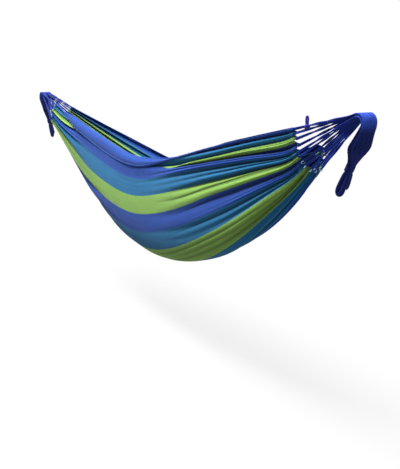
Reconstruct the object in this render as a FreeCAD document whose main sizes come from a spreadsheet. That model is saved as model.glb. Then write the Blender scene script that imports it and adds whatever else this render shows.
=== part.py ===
import FreeCAD, Part
import math
import os

# A gathered-end camping hammock, hung and empty.
#
# Frame: millimetres, +Z up. The origin is the axis of the round support under the left
# saddle. +X runs to the right support, +Y to the far rim.
#
# The bed is a thin U-shaped sheet, lofted through stations along X. Its near rim rides
# higher than its far rim, so each station is rolled about X. At both ends a hem carries a
# row of loops, and a clew (a doubled cord) runs taut from each loop to the saddle, the
# flat bundle of all the clews that bends over the support. Past the saddle the bundle
# hangs as a tail, is whipped at its neck and ends in an eye loop.

V = FreeCAD.Vector
doc = FreeCAD.newDocument("hammock")

SIZES = {
    "hang_span": (2800, "support axis to support axis"),
    "support_radius": (19, "round support that a saddle bends over"),
    "bundle_width": (62, "flat bundle of clews, across"),
    "bundle_thickness": (14, "flat bundle of clews, through"),
    "approach_angle": (25, "bundle's rise where it meets the support, degrees"),
    "tail_lean": (28, "tail's lean in under the bed, degrees from plumb"),
    "bed_shift": (20, "middle of the bed from mid span, towards +X"),
    "bed_reach": (1116, "middle of the bed to an end hem, at the rim"),
    "bed_thickness": (3, "woven cloth with its small folds"),
    "mid_half_width": (152, "rim to middle plane at mid length"),
    "mid_rim_drop": (264, "support axis down to the rims at mid length"),
    "mid_depth": (443, "rims down to the lowest line at mid length"),
    "mid_roll": (12.5, "near rim raised at mid length, degrees"),
    "mid_offset": (57, "bed's centre towards +Y at mid length"),
    "end_half_width": (58, "rim to middle plane at an end hem"),
    "end_rim_drop": (43, "support axis down to the rims at an end hem"),
    "end_depth": (142, "rims down to the lowest point of an end hem"),
    "end_roll": (15, "near rim raised at an end hem, degrees"),
    "end_offset": (15, "end hem's centre towards +Y"),
    "end_tilt": (30, "end hem's foot leaning outwards, degrees"),
    "low_point_shift": (86, "lowest line's low point from the bed's middle, towards +X"),
    "rim_low_shift": (35, "rims' low point from the bed's middle, towards +X"),
    "end_hem_width": (25, "folded hem at each end of the cloth"),
    "end_hem_thickness": (7, "folded hem at each end of the cloth"),
    "side_hem_diameter": (10, "rolled hem along each rim"),
    "clew_diameter": (6, "doubled clew cord"),
    "clew_pitch": (7.4, "clews side by side at the saddle"),
    "row_pitch": (7.7, "two rows of clews at the saddle"),
    "gather_gap": (3, "clew ends to the saddle"),
    "clew_gap": (1, "clew to its hem loop"),
    "loop_radius": (5.5, "hem loop, centre line"),
    "loop_cord_radius": (1.8, "hem loop, cord"),
    "tail_gap": (8, "saddle to tail, the bend between them"),
    "tail_length": (132, "tail from below the saddle to its neck"),
    "tail_belly_at": (70, "tail's widest place, from its top"),
    "right_belly_width": (92, "right tail's widest place, across"),
    "right_belly_thickness": (24, "right tail's widest place, through"),
    "right_neck_width": (29, "right tail's neck, across"),
    "right_neck_thickness": (24, "right tail's neck, through"),
    "left_belly_width": (34, "left tail's widest place, across"),
    "left_belly_thickness": (46, "left tail's widest place, through"),
    "left_neck_width": (20, "left tail's neck, across"),
    "left_neck_thickness": (26, "left tail's neck, through"),
    "whipping_length": (22, "cord wound round the neck"),
    "whipping_wall": (2, "cord wound round the neck"),
    "eye_cord_radius": (7.5, "served cord of an eye loop"),
    "eye_bend_radius": (15, "eye loop's two bends, centre line"),
    "eye_leg_length": (52, "eye loop's straight legs"),
    "eye_clearance": (1.5, "eye loop to its whipping"),
    "cord_end_radius": (4.5, "free end of the whipping cord"),
    "cord_end_length": (72, "free end of the whipping cord"),
    "cord_end_gap": (1, "free end to the eye loop"),
    "knot_radius": (7, "corner knot, tied round the first clew"),
    "knot_along": (15, "corner knot from the clew's start"),
    "corner_loop_cord_radius": (2.2, "cord of the small loop on the corner knot"),
    "corner_loop_bend_radius": (2.6, "bends of that small loop, centre line"),
    "corner_loop_leg_length": (18, "legs of that small loop"),
    "corner_loop_gap": (2, "small loop to the knot, room for it to flop over"),
}
WIDTH_ROUNDING = 0.5  # how softly the bed starts to narrow at mid length
RIM_ROUNDING = 0.15  # how softly the straight rims meet at their low point
FLOOR_FULLNESS = {"left": -0.45, "right": 0.26}  # how full the lowest line hangs
BED_STATIONS = 17
CLEWS_AT_AN_END = 16
SIDES = {"left": -1, "right": 1}


def make_sheet():
    sheet = doc.addObject("Spreadsheet::Sheet", "sizes")
    for row, (alias, (value, meaning)) in enumerate(SIZES.items(), start=1):
        sheet.set("A%d" % row, alias)
        sheet.set("B%d" % row, str(value))
        sheet.set("C%d" % row, meaning)
        sheet.setAlias("B%d" % row, alias)
    doc.recompute()
    return sheet


sheet = make_sheet()


def size(alias):
    return float(sheet.get(alias))


def bind(thing, **expressions):
    """Bind properties of a document object to cells of the sheet."""
    for name, expression in expressions.items():
        thing.setExpression(name, expression)
    return thing


def radians(alias):
    return math.radians(size(alias))


def unit(degrees):
    """Direction in the XZ plane, from +X towards +Z."""
    angle = math.radians(degrees)
    return V(math.cos(angle), 0, math.sin(angle))


def rotation(along_x, along_z):
    """Rotation that takes local X and local Z to the two given directions."""
    return FreeCAD.Rotation(along_x, along_z.cross(along_x), along_z, "ZXY")


# ---------------------------------------------------------------- bed and hems


def between(middle, end, share):
    return end + (middle - end) * share


def rounded_vee(fraction, rounding):
    """0 at mid length and 1 at both ends: a V with a rounded foot."""
    return (math.hypot(fraction, rounding) - rounding) / (math.hypot(1, rounding) - rounding)


def from_low_point(fraction, shift):
    """Fraction counted from a low point off mid length, still -1 and 1 at the ends."""
    share = size(shift) / size("bed_reach")
    away = fraction - share
    return away / (1 - math.copysign(share, away))


def floor_rise(fraction):
    """0 at the low point of the lowest line and 1 at both ends."""
    away = from_low_point(fraction, "low_point_shift")
    fullness = FLOOR_FULLNESS["left" if away < 0 else "right"]
    return (1 - fullness) * away ** 2 + fullness * away ** 4


def bed_station(fraction):
    """Half width, depth and placement of the U section at a fraction of bed_reach."""
    near_middle = 1 - rounded_vee(fraction, WIDTH_ROUNDING)
    rim_sag = 1 - rounded_vee(from_low_point(fraction, "rim_low_shift"), RIM_ROUNDING)
    half_width = between(size("mid_half_width"), size("end_half_width"), near_middle)
    rim = -between(size("mid_rim_drop"), size("end_rim_drop"), rim_sag)
    mid_floor = size("mid_rim_drop") + size("mid_depth")
    end_floor = size("end_rim_drop") + size("end_depth")
    floor = -between(mid_floor, end_floor, 1 - floor_rise(fraction))
    roll = -between(size("mid_roll"), size("end_roll"), near_middle)
    offset = between(size("mid_offset"), size("end_offset"), near_middle)
    tilt = -size("end_tilt") * fraction ** 3
    x = size("hang_span") / 2 + size("bed_shift") + size("bed_reach") * fraction
    turn = FreeCAD.Rotation(V(0, 1, 0), tilt).multiply(FreeCAD.Rotation(V(1, 0, 0), roll))
    return half_width, rim - floor, FreeCAD.Placement(V(x, offset, rim), turn)


def half_ellipse(half_width, depth):
    whole = Part.Ellipse(V(0, 0, -depth), V(0, half_width, 0), V(0, 0, 0))
    return Part.ArcOfEllipse(whole, -math.pi / 2, math.pi / 2).toShape()


def u_section(fraction, outer, inner):
    """Closed U at a station, from outer to inner, both counted from the cloth's outside."""
    half_width, depth, place = bed_station(fraction)
    outside = half_ellipse(half_width + outer, depth + outer)
    inside = half_ellipse(half_width + inner, depth + inner)
    near_lip = Part.LineSegment(V(0, -half_width - outer, 0), V(0, -half_width - inner, 0))
    far_lip = Part.LineSegment(V(0, half_width + outer, 0), V(0, half_width + inner, 0))
    edges = [outside, far_lip.toShape(), inside, near_lip.toShape()]
    wire = Part.Wire(Part.__sortEdges__(edges))
    wire.Placement = place
    return wire


def shaped(label, shape):
    """A sub-part whose shape comes from Part's own functions."""
    piece = doc.addObject("Part::Feature", label)
    piece.Label = label
    piece.Shape = shape
    piece.Placement = FreeCAD.Placement()
    return piece


def steps(first, last, count):
    return [first + (last - first) * i / (count - 1) for i in range(count)]


def bed_fabric():
    fractions = steps(-1, 1, BED_STATIONS)
    wires = [u_section(f, 0, -size("bed_thickness")) for f in fractions]
    return shaped("bed_fabric", Part.makeLoft(wires, True, False))


def hem_fraction(side):
    """Fraction of bed_reach at the outer edge of an end hem."""
    return side * (1 + size("end_hem_width") / size("bed_reach"))


def end_hem(name, side):
    spare = (size("end_hem_thickness") - size("bed_thickness")) / 2
    inner = -size("bed_thickness") - spare
    wires = [u_section(f, spare, inner) for f in (side, hem_fraction(side))]
    return shaped(name + "_end_hem", Part.makeLoft(wires, True, True))


def side_hem(name, side):
    """Rolled hem that wraps the cloth's long edge."""
    circles = []
    for fraction in steps(-1, 1, BED_STATIONS):
        half_width, depth, place = bed_station(fraction)
        centre = V(0, side * (half_width - size("bed_thickness") / 2), 0)
        circle = Part.Circle(centre, V(1, 0, 0), size("side_hem_diameter") / 2)
        wire = Part.Wire([circle.toShape()])
        wire.Placement = place
        circles.append(wire)
    return shaped(name + "_side_hem", Part.makeLoft(circles, True, False))


# ------------------------------------------------------------- hem loops, clews


def hem_angles():
    """Ellipse angles of the hem loops, evenly spaced along the hem, near rim first."""
    half_width, depth, place = bed_station(1)
    edge = half_ellipse(half_width, depth)
    span = edge.Length
    places = [(i + 0.5) * span / CLEWS_AT_AN_END for i in range(CLEWS_AT_AN_END)]
    return [edge.getParameterByLength(distance) for distance in places]


def hem_point(side, angle, beyond):
    """Middle of the hem's thickness at an ellipse angle, so far beyond its outer edge."""
    half_width, depth, place = bed_station(hem_fraction(side))
    middle = size("bed_thickness") / 2
    across = (half_width - middle) * math.sin(angle)
    down = (depth - middle) * math.cos(angle)
    return place.multVec(V(side * beyond, across, -down))


def hem_loops(name, side):
    """One small ring of cord for each clew, pierced through the hem's edge."""
    rings = []
    for angle in hem_angles():
        half_width, depth, place = bed_station(hem_fraction(side))
        ring = doc.addObject("Part::Torus", "loop")
        bind(ring, Radius1="sizes.loop_radius", Radius2="sizes.loop_cord_radius")
        along_edge = V(0, half_width * math.cos(angle), depth * math.sin(angle))
        turn = place.Rotation.multiply(FreeCAD.Rotation(V(0, 0, 1), along_edge))
        centre = hem_point(side, angle, size("loop_radius") - size("loop_cord_radius"))
        ring.Placement = FreeCAD.Placement(centre, turn)
        rings.append(ring)
    group = doc.addObject("Part::Compound", name + "_hem_loops")
    group.Label = name + "_hem_loops"
    group.Links = rings
    return group


def support_x(side):
    return size("hang_span") * (1 + side) / 2


def gather_point(side, index):
    """Where a clew ends at the saddle: two rows, the rims' clews in the upper one."""
    half = CLEWS_AT_AN_END // 2
    quarter = half // 2
    step = index if index < half else CLEWS_AT_AN_END - 1 - index
    column = (step % quarter) - quarter + 0.5
    across = column * size("clew_pitch") * (1 if index < half else -1)
    row = 0.5 if step < quarter else -0.5
    x, z = gather_centre(side)
    return V(x, across, z + row * size("row_pitch"))


def saddle_middle_radius():
    return size("support_radius") + size("bundle_thickness") / 2


def gather_centre(side):
    """Centre of the upright plane where the clews end, just short of the saddle."""
    rise = radians("approach_angle")
    outer = size("support_radius") + size("bundle_thickness")
    back = outer * math.sin(rise) + size("gather_gap")
    on_bundle = saddle_middle_radius()
    down = (back - on_bundle * math.sin(rise)) * math.tan(rise)
    return support_x(side) - side * back, on_bundle * math.cos(rise) - down


def clew_ends(side, index, angle):
    reach = 2 * size("loop_radius") + size("clew_gap")
    return hem_point(side, angle, reach), gather_point(side, index)


def clew(name, side, index, angle):
    start, end = clew_ends(side, index, angle)
    cord = doc.addObject("Part::Cylinder", "%s_clew_%02d" % (name, index + 1))
    cord.Label = "%s_clew_%02d" % (name, index + 1)
    bind(cord, Radius="sizes.clew_diameter / 2")
    cord.Height = (end - start).Length
    cord.Placement = FreeCAD.Placement(start, FreeCAD.Rotation(V(0, 0, 1), end - start))
    return cord


# ------------------------------------------------ saddles, tails and eye loops


def saddle(name, side):
    """Flat bundle bent round the support: a sector of a tube along Y."""
    wrap = "90 + sizes.approach_angle + sizes.tail_lean"
    first = -size("tail_lean") if side > 0 else 90 - size("approach_angle")
    turn = rotation(unit(first), V(0, -1, 0))
    base = V(support_x(side), size("bundle_width") / 2, 0)
    place = FreeCAD.Placement(base, turn)
    outer = doc.addObject("Part::Cylinder", name + "_saddle_outside")
    bind(outer, Radius="sizes.support_radius + sizes.bundle_thickness")
    bind(outer, Height="sizes.bundle_width", Angle=wrap)
    outer.Placement = place
    inner = doc.addObject("Part::Cylinder", name + "_saddle_inside")
    bind(inner, Radius="sizes.support_radius", Height="sizes.bundle_width")
    inner.Placement = place
    band = doc.addObject("Part::Cut", name + "_saddle")
    band.Label = name + "_saddle"
    band.Base = outer
    band.Tool = inner
    return band


def tail_place(side, along):
    """Placement of a tail section: local Z down the tail, local Y across it."""
    lean = radians("tail_lean")
    radial = V(side * math.cos(lean), 0, -math.sin(lean))
    down = V(-side * math.sin(lean), 0, -math.cos(lean))
    top = V(support_x(side), 0, 0) + radial * saddle_middle_radius()
    return FreeCAD.Placement(top + down * along, rotation(radial, down))


def oval(name, side, along, width, thickness, wall=None):
    """Ellipse across a tail, width along Y, its two sizes given as cells."""
    section = doc.addObject("Part::Ellipse", name)
    spare = " / 2 + sizes.%s" % wall if wall else " / 2"
    place = tail_place(side, along)
    if size(width) >= size(thickness):
        bind(section, MajorRadius="sizes." + width + spare)
        bind(section, MinorRadius="sizes." + thickness + spare)
        place.Rotation = place.Rotation.multiply(FreeCAD.Rotation(V(0, 0, 1), 90))
    else:
        bind(section, MajorRadius="sizes." + thickness + spare)
        bind(section, MinorRadius="sizes." + width + spare)
    section.Placement = place
    return section


def lofted(label, sections):
    piece = doc.addObject("Part::Loft", label)
    piece.Label = label
    piece.Sections = sections
    piece.Solid = True
    return piece


def tail(name, side):
    gap = size("tail_gap")
    belly = gap + size("tail_belly_at")
    neck = gap + size("tail_length")
    sections = [
        oval(name + "_tail_top", side, gap, "bundle_width", "bundle_thickness"),
        oval(name + "_belly", side, belly, name + "_belly_width", name + "_belly_thickness"),
        oval(name + "_neck", side, neck, name + "_neck_width", name + "_neck_thickness"),
    ]
    return lofted(name + "_tail", sections)


def whipping(name, side):
    neck = size("tail_gap") + size("tail_length")
    ends = [neck, neck + size("whipping_length")]
    width = name + "_neck_width"
    thickness = name + "_neck_thickness"
    sections = [oval(name + "_turn", side, at, width, thickness, "whipping_wall") for at in ends]
    return lofted(name + "_whipping", sections)


def below_whipping():
    return size("tail_gap") + size("tail_length") + size("whipping_length")


def ring_of_cord(label, place, cord_radius, bend_radius, leg_length):
    """Closed loop of two legs and two half-turn bends; place is at its first bend."""
    parts = []
    for turn, along in ((-90, 0), (90, size(leg_length))):
        bend = doc.addObject("Part::Torus", "bend")
        bind(bend, Radius1="sizes." + bend_radius, Radius2="sizes." + cord_radius)
        bend.Angle3 = 180
        bend_place = FreeCAD.Placement(V(0, 0, along), FreeCAD.Rotation(V(1, 0, 0), turn))
        bend.Placement = place.multiply(bend_place)
        parts.append(bend)
    for across in (-1, 1):
        leg = doc.addObject("Part::Cylinder", "leg")
        bind(leg, Radius="sizes." + cord_radius, Height="sizes." + leg_length)
        offset = FreeCAD.Placement(V(across * size(bend_radius), 0, 0), FreeCAD.Rotation())
        leg.Placement = place.multiply(offset)
        parts.append(leg)
    ring = doc.addObject("Part::MultiFuse", label)
    ring.Label = label
    ring.Shapes = parts
    return ring


def eye_loop(name, side):
    outer = size("eye_bend_radius") + size("eye_cord_radius")
    place = tail_place(side, below_whipping() + size("eye_clearance") + outer)
    sizes = ("eye_cord_radius", "eye_bend_radius", "eye_leg_length")
    return ring_of_cord(name + "_eye_loop", place, *sizes)


def cord_end(name, side):
    """Free end of the whipping cord, hanging beside the eye loop."""
    cord = doc.addObject("Part::Cylinder", name + "_whipping_end")
    cord.Label = name + "_whipping_end"
    bind(cord, Radius="sizes.cord_end_radius", Height="sizes.cord_end_length")
    place = tail_place(side, below_whipping() + size("eye_clearance"))
    beside = size("eye_cord_radius") + size("cord_end_radius") + size("cord_end_gap")
    place.Base = place.Base + V(0, beside, 0)
    cord.Placement = place
    return cord


# ------------------------------------------------------- knot by the near corner


def corner_place(above):
    """Upright placement over the knot's centre on the right end's first clew."""
    start, end = clew_ends(1, 0, hem_angles()[0])
    along = (end - start).normalize() * size("knot_along")
    return FreeCAD.Placement(start + along + V(0, 0, above), FreeCAD.Rotation())


def corner_knot():
    knot = doc.addObject("Part::Sphere", "right_corner_knot")
    knot.Label = "right_corner_knot"
    bind(knot, Radius="sizes.knot_radius")
    knot.Placement = corner_place(0)
    return knot


def corner_loop():
    """Small upright loop left over from the knot."""
    outer = size("corner_loop_bend_radius") + size("corner_loop_cord_radius")
    place = corner_place(size("knot_radius") + size("corner_loop_gap") + outer)
    sizes = ("corner_loop_cord_radius", "corner_loop_bend_radius", "corner_loop_leg_length")
    return ring_of_cord("right_corner_loop", place, *sizes)


# ------------------------------------------------------------------ the hammock


def build():
    pieces = [bed_fabric(), side_hem("near", -1), side_hem("far", 1)]
    for name, side in SIDES.items():
        pieces += [end_hem(name, side), hem_loops(name, side)]
        pieces += [clew(name, side, i, angle) for i, angle in enumerate(hem_angles())]
        pieces += [saddle(name, side), tail(name, side), whipping(name, side)]
        pieces += [eye_loop(name, side), cord_end(name, side)]
    pieces += [corner_knot(), corner_loop()]
    doc.recompute()
    return pieces


def check(pieces):
    for thing in doc.Objects:
        if "Invalid" in thing.State or "Error" in thing.State:
            raise RuntimeError(thing.Label + " did not recompute: " + str(thing.State))
    for piece in pieces:
        if piece.Shape.isNull() or not piece.Shape.isValid() or not piece.Shape.Solids:
            raise RuntimeError(piece.Label + " has no valid solid")


def export(pieces):
    os.makedirs("parts", exist_ok=True)
    for piece in pieces:
        piece.Shape.exportStep("parts/" + piece.Label + ".step")


def report(pieces):
    for piece in pieces:
        box = piece.Shape.BoundBox
        low = "%.0f %.0f %.0f" % (box.XMin, box.YMin, box.ZMin)
        high = "%.0f %.0f %.0f" % (box.XMax, box.YMax, box.ZMax)
        cm3 = piece.Shape.Volume / 1000
        print("%-20s %8.1f cm3   %s to %s" % (piece.Label, cm3, low, high))


pieces = build()
check(pieces)
export(pieces)
report(pieces)
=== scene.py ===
import math

import bpy
import numpy as np
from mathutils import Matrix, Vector


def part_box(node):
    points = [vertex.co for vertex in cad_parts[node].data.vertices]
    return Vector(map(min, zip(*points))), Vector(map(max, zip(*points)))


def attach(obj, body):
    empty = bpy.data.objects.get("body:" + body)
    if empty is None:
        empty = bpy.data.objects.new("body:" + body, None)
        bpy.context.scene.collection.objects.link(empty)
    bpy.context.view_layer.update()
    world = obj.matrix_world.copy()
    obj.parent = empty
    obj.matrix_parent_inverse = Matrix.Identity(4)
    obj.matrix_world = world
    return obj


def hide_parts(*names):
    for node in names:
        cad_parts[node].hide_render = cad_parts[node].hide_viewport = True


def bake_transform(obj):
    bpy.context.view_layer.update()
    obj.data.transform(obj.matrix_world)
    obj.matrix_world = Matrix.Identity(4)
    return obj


# The looks of a gathered-end hammock, hung and empty. Metres, in the CAD frame: +X to the
# right support, +Y to the far rim, +Z up. The cloth is one grid of points, from the near
# rim (column 0) to the far rim, and from the left end hem (row 0) to the right one. The
# hems, hem loops and clews all start from that grid.

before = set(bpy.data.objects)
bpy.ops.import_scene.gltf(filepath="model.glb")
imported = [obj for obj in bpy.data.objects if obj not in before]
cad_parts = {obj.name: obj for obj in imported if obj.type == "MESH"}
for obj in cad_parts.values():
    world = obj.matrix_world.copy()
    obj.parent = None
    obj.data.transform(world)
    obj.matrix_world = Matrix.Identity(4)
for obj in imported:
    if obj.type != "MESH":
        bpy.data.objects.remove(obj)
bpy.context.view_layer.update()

SIDES = {"left": -1, "right": 1}
SPAN = 2.8
SUPPORT_RADIUS = 0.019

# ---- camera

LENS = 54.8  # millimetres, as is the film's width
FILM_WIDTH = 36
CAMERA_SHIFT = -0.002
CAMERA_PLACE = (4.422, -1.604, 0.153)
CAMERA_LOOK = (-0.827, 0.517, -0.2215)


def aimed(data, axis, toward):
    """A camera or light with its axis turned toward a direction."""
    holder = bpy.data.objects.new(data.name, data)
    holder.rotation_euler = Vector(toward).to_track_quat(axis, "Y").to_euler()
    bpy.context.scene.collection.objects.link(holder)
    return holder


def make_camera():
    data = bpy.data.cameras.new("camera")
    data.lens = LENS
    data.sensor_width = FILM_WIDTH
    data.shift_x = CAMERA_SHIFT
    camera = aimed(data, "-Z", CAMERA_LOOK)
    camera.location = CAMERA_PLACE
    bpy.context.scene.camera = camera


make_camera()

# ---- materials


def set_inputs(node, values):
    for slot, value in values.items():
        node.inputs[slot].default_value = value


class Surface:
    """A material and short ways to add to its nodes. Each way gives back an output."""

    def __init__(self, name):
        self.material = bpy.data.materials.new(name)
        self.material.use_nodes = True
        self.nodes = self.material.node_tree.nodes
        self.link = self.material.node_tree.links.new
        self.shader = self.nodes["Principled BSDF"]

    def math(self, operation, first, second):
        """A Math node; each input is a socket or a number."""
        node = self.nodes.new("ShaderNodeMath")
        node.operation = operation
        for slot, source in zip(node.inputs, (first, second)):
            if isinstance(source, (int, float)):
                slot.default_value = source
            else:
                self.link(source, slot)
        return node.outputs[0]

    def noise(self, vector, scale, detail=2.0):
        node = self.nodes.new("ShaderNodeTexNoise")
        set_inputs(node, {"Scale": scale, "Detail": detail})
        self.link(vector, node.inputs["Vector"])
        return node.outputs["Fac"]

    def tinted(self, colour, factor, low, high):
        """Colour times a brightness that runs from low to high with factor."""
        spread = self.nodes.new("ShaderNodeMapRange")
        set_inputs(spread, {"To Min": low, "To Max": high})
        self.link(factor, spread.inputs["Value"])
        scaled = self.nodes.new("ShaderNodeVectorMath")
        scaled.operation = "SCALE"
        self.link(colour, scaled.inputs[0])
        self.link(spread.outputs[0], scaled.inputs["Scale"])
        return scaled.outputs[0]

    def attribute(self, name):
        """A value kept at each point of the mesh; 0 where the mesh has none."""
        node = self.nodes.new("ShaderNodeAttribute")
        node.attribute_name = name
        return node.outputs["Fac"]

    def position(self):
        return self.nodes.new("ShaderNodeTexCoord").outputs["Object"]

    def finish(self, colour, height, strength, distance, values):
        """Colours the shader, presses a pattern of heights into it and sets the rest."""
        bump = self.nodes.new("ShaderNodeBump")
        set_inputs(bump, {"Strength": strength, "Distance": distance})
        self.link(height, bump.inputs["Height"])
        self.link(bump.outputs[0], self.shader.inputs["Normal"])
        self.link(colour, self.shader.inputs["Base Color"])
        set_inputs(self.shader, values)
        return self.material


STRIPES = "BTGBTGBTGTBGTBGTB"
DYES = {
    "B": (0.003, 0.024, 0.140),
    "T": (0.0015, 0.055, 0.126),
    "G": (0.090, 0.172, 0.030),
}
# How fast a pattern changes: across the cloth by the stripe, then along it by the metre.
YARNS = (60.0, 3.0)
SOFT_CREASES = (2.6, 1.6)
THREADS = (110.0, 1250.0)
PATCHES, CORD_PATCHES, FIBRES = 7.0, 45.0, 900.0  # every way, by the metre
YARN_HEIGHT, CREASE_HEIGHT = 1.4, 9.0  # beside the threads' height of 1
CANVAS_FINISH = {
    "Roughness": 0.85,
    "Specular IOR Level": 0.12,
    "Sheen Weight": 0.03,
    "Sheen Roughness": 0.45,
    "Sheen Tint": (0.75, 0.85, 1.0, 1),
}
CORD_FINISH = {
    "Roughness": 0.70,
    "Specular IOR Level": 0.08,
    "Sheen Roughness": 0.4,
    "Sheen Tint": (0.35, 0.50, 1.0, 1),
}


def cloth_place(surface):
    """The place across the cloth, counted in stripes, and along it in metres."""
    uv = surface.nodes.new("ShaderNodeUVMap")
    uv.uv_map = "cloth"
    parts = surface.nodes.new("ShaderNodeSeparateXYZ")
    surface.link(uv.outputs[0], parts.inputs[0])
    return parts.outputs[0], parts.outputs[1]


def cloth_noise(surface, place, scales, detail):
    """Noise stretched by one scale across the cloth and another along it."""
    stretched = surface.nodes.new("ShaderNodeCombineXYZ")
    for slot, source, scale in zip(stretched.inputs, place, scales):
        surface.link(surface.math("MULTIPLY", source, scale), slot)
    return surface.noise(stretched.outputs[0], 1.0, detail)


def stripe_colours(surface, across):
    """The dye of the stripe that each place is in."""
    ramp = surface.nodes.new("ShaderNodeValToRGB")
    ramp.color_ramp.interpolation = "CONSTANT"
    stops = ramp.color_ramp.elements
    while len(stops) < len(STRIPES):
        stops.new(0.5)
    for i, dye in enumerate(STRIPES):
        stops[i].position = i / len(STRIPES)
        stops[i].color = (*DYES[dye], 1)
    surface.link(surface.math("DIVIDE", across, len(STRIPES)), ramp.inputs[0])
    return ramp.outputs[0]


def weave_height(surface, place, yarns):
    """Warp and weft threads, uneven yarns, and soft creases that run with the stripes."""
    threads = []
    for source, count in zip(place, THREADS):
        turns = surface.math("MULTIPLY", source, count * math.pi)
        threads.append(surface.math("SINE", turns, 0.0))
    woven = surface.math("MULTIPLY", *threads)
    height = surface.math("ADD", woven, surface.math("MULTIPLY", yarns, YARN_HEIGHT))
    soft = cloth_noise(surface, place, SOFT_CREASES, 2.0)
    return surface.math("ADD", height, surface.math("MULTIPLY", soft, CREASE_HEIGHT))


def canvas_material():
    """Plain weave with dyed stripes, in patches washed lighter or darker, with painted shade in
    the folds and a painted highlight on their ridges.
    """
    surface = Surface("striped_canvas")
    place = cloth_place(surface)
    yarns = cloth_noise(surface, place, YARNS, 3.0)
    patches = surface.noise(surface.position(), PATCHES, 3.0)
    colour = surface.tinted(stripe_colours(surface, place[0]), yarns, 0.80, 1.20)
    colour = surface.tinted(colour, patches, 0.88, 1.12)
    # Painted shade in valleys and creases and a painted highlight on raised cloth and rolled hems,
    # from each point's ridge value
    colour = surface.tinted(colour, surface.attribute("ridge"), 0.45, 1.25)
    height = weave_height(surface, place, yarns)
    return surface.finish(colour, height, 0.5, 0.0006, CANVAS_FINISH)


def cord_material(name, colour, fleck, sheen, highlight_colour=None):
    """Cotton cord: fibres of uneven colour with a fine fuzz, with a painted highlight colour mixed
    in where the mesh asks for it.
    """
    surface = Surface(name)
    position = surface.position()
    fibres = surface.noise(position, FIBRES)
    dye = surface.nodes.new("ShaderNodeMixRGB")
    set_inputs(dye, {"Color1": (*colour, 1), "Color2": (*(highlight_colour or colour), 1)})
    # painted highlight: the lighter colour is mixed in by each point's value on the mesh
    surface.link(surface.attribute("painted_highlight"), dye.inputs["Fac"])
    tone = surface.tinted(dye.outputs[0], fibres, 1 - fleck, 1 + fleck)
    tone = surface.tinted(tone, surface.noise(position, CORD_PATCHES), 0.75, 1.25)
    return surface.finish(tone, fibres, 0.4, 0.0004, {**CORD_FINISH, "Sheen Weight": sheen})


CANVAS = canvas_material()
CORD = cord_material("navy_cord", (0.004, 0.014, 0.135), 0.35, 0.03)
# The cord's navy darkened by half: painted shade for the tail, its whipping, eye and free end.
SHADED_NAVY = (0.0015, 0.0065, 0.068)
# A painted highlight colour for the bend's top over the support.
HIGHLIGHT_NAVY = (0.014, 0.044, 0.290)
BUNDLE = cord_material("bundle_cord", SHADED_NAVY, 0.35, 0.02, HIGHLIGHT_NAVY)
WHIPPING = cord_material("whipping_twine", SHADED_NAVY, 0.35, 0.02)
PALE_CORD = cord_material("pale_loop_cord", (0.26, 0.38, 0.55), 0.25, 0.05)
KNOT_CORD = cord_material("royal_blue_cord", (0.050, 0.040, 0.300), 0.30, 0.05)
THREAD = cord_material("stitching_thread", (0.060, 0.120, 0.380), 0.30, 0.04)

# ---- mesh helpers


EVEN_TONE = 0.65  # of flat cloth; ridges get a painted highlight, valleys and creases get painted shade


def add_mesh(name, points, faces, material, uv=None, tone=None):
    """A smooth mesh. Each point of a cloth also has a UV and a tone, its painted shade or
    highlight.
    """
    mesh = bpy.data.meshes.new(name)
    mesh.from_pydata(np.asarray(points).tolist(), [], [list(face) for face in faces])
    if uv is not None:
        corners = np.zeros(len(mesh.loops), np.int32)
        mesh.loops.foreach_get("vertex_index", corners)
        layer = mesh.uv_layers.new(name="cloth")
        layer.data.foreach_set("uv", np.asarray(uv, np.float32)[corners].ravel())
        if tone is None:
            tone = np.full(len(mesh.vertices), EVEN_TONE)
        # The ridge value carries the painted shade and highlight to the canvas material.
        ridge = mesh.attributes.new("ridge", "FLOAT", "POINT")
        ridge.data.foreach_set("value", np.asarray(tone, np.float32))
    mesh.polygons.foreach_set("use_smooth", [True] * len(mesh.polygons))
    mesh.materials.append(material)
    mesh.update()
    piece = bpy.data.objects.new(name, mesh)
    bpy.context.scene.collection.objects.link(piece)
    return piece


def grid_faces(rows, columns, closed=False):
    """Quads of a grid of points; closed joins the last column to the first."""
    last = columns if closed else columns - 1
    i, j = np.meshgrid(np.arange(rows - 1), np.arange(last), indexing="ij")
    k = (j + 1) % columns
    corners = [i * columns + j, i * columns + k, (i + 1) * columns + k, (i + 1) * columns + j]
    return np.stack([c.ravel() for c in corners], -1)


def full_turn(count):
    return np.linspace(0, 2 * math.pi, count, endpoint=False)


def capped_tube(rows, around):
    """The faces of a tube of rings, with both its ends closed."""
    faces = grid_faces(rows, around, closed=True).tolist()
    faces.append(list(reversed(range(around))))
    faces.append([(rows - 1) * around + k for k in range(around)])
    return faces


def unit(vector):
    vector = np.asarray(vector, float)
    return vector / np.linalg.norm(vector, axis=-1, keepdims=True)


def smooth_line(points, count):
    """Catmull-Rom curve through the points, resampled evenly."""
    p = np.asarray(points, float)
    p = np.vstack([2 * p[0] - p[1], p, 2 * p[-1] - p[-2]])
    t = np.linspace(0, 1, 24, endpoint=False)[:, None]
    spans = []
    for a, b, c, d in zip(p, p[1:], p[2:], p[3:]):
        spans.append(0.5 * (2 * b + (c - a) * t + (2 * a - 5 * b + 4 * c - d) * t ** 2
                            + (3 * b - a - 3 * c + d) * t ** 3))
    line = np.vstack(spans + [p[-2:-1]])
    return resampled(line, count)


def run_of(line):
    """Distance along the line at each of its points."""
    steps = np.linalg.norm(np.diff(line, axis=0), axis=1)
    return np.concatenate([[0], np.cumsum(steps)])


def at_run(at, run, line):
    """Points, or vectors, of the line at distances along it."""
    return np.stack([np.interp(at, run, line[:, k]) for k in range(3)], -1)


def resampled(line, count):
    run = run_of(line)
    return at_run(np.linspace(0, run[-1], count), run, line)


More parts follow.
